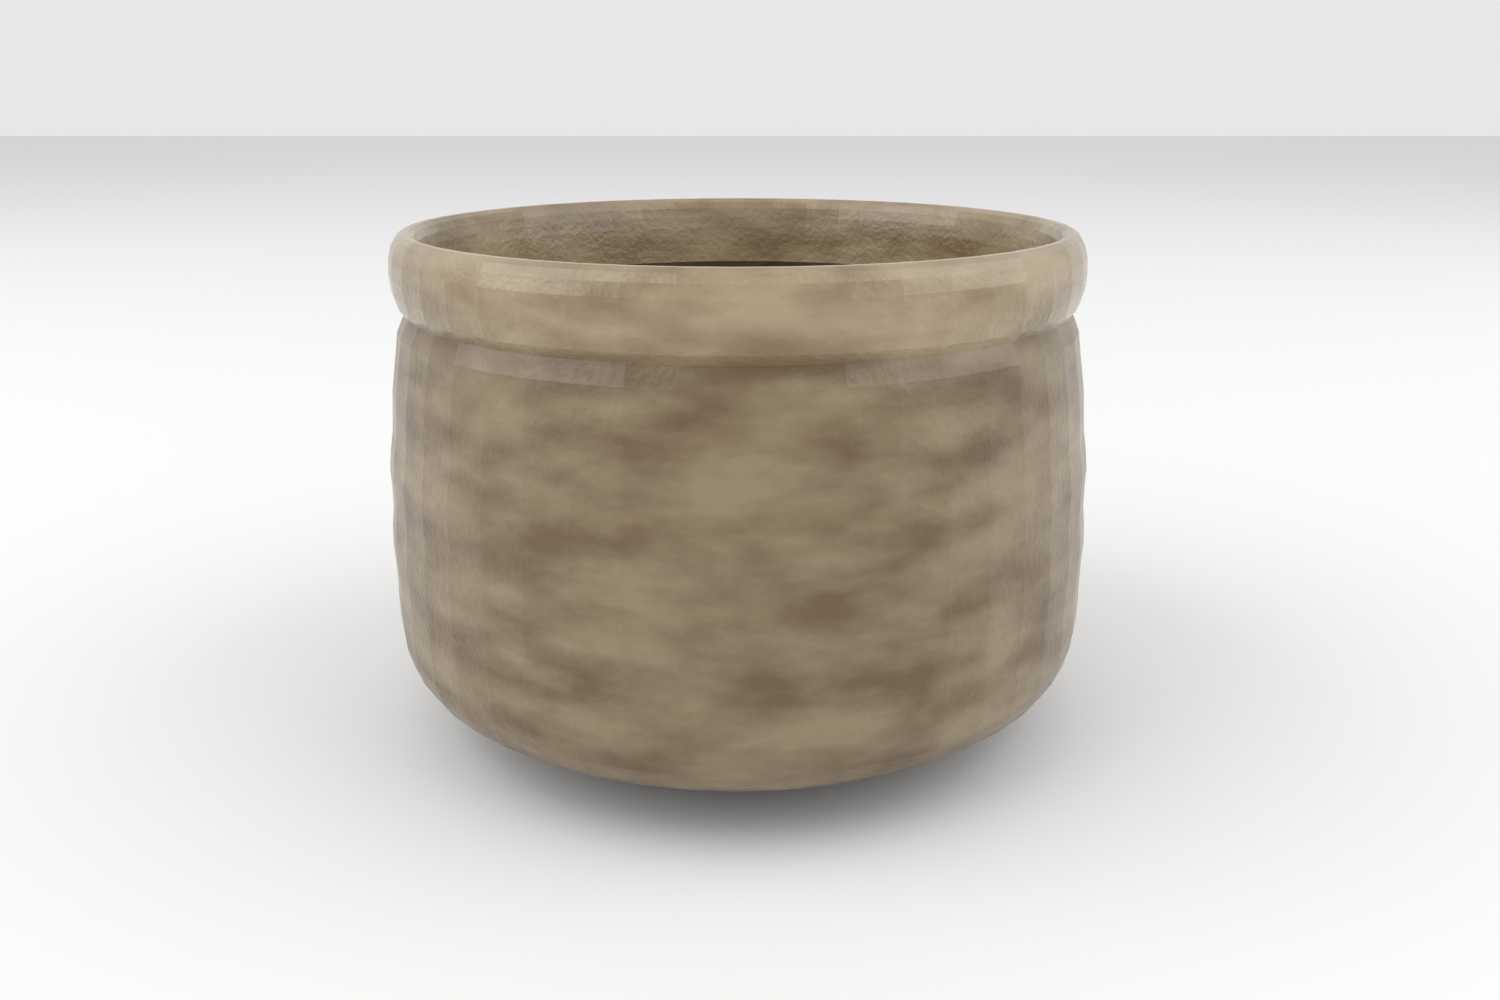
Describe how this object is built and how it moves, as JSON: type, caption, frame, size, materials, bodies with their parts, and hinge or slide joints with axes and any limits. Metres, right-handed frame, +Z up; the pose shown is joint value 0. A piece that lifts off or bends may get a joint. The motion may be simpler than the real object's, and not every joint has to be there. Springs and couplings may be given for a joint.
{
  "type": "cylindrical tea bowl",
  "caption": "Low cylindrical stoneware tea bowl with a rolled lip, trimmed lower edge and turned foot ring, under an ash glaze.",
  "frame": {"origin": "centre of the foot ring's base, on the floor", "axes": "+Z up along the bowl's axis"},
  "size_m": [0.119, 0.119, 0.0839],
  "materials": {
    "stoneware": "bare, matt",
    "ash_glaze": "satin",
    "well_glaze": "satin",
    "lip_glaze": "gloss"
  },
  "bodies": {
    "root": {"clay_body": "stoneware", "foot_ring": "stoneware", "outer_glaze": "ash_glaze", "inner_glaze": "well_glaze", "lip_bead": "lip_glaze"}
  },
  "joints": []
}
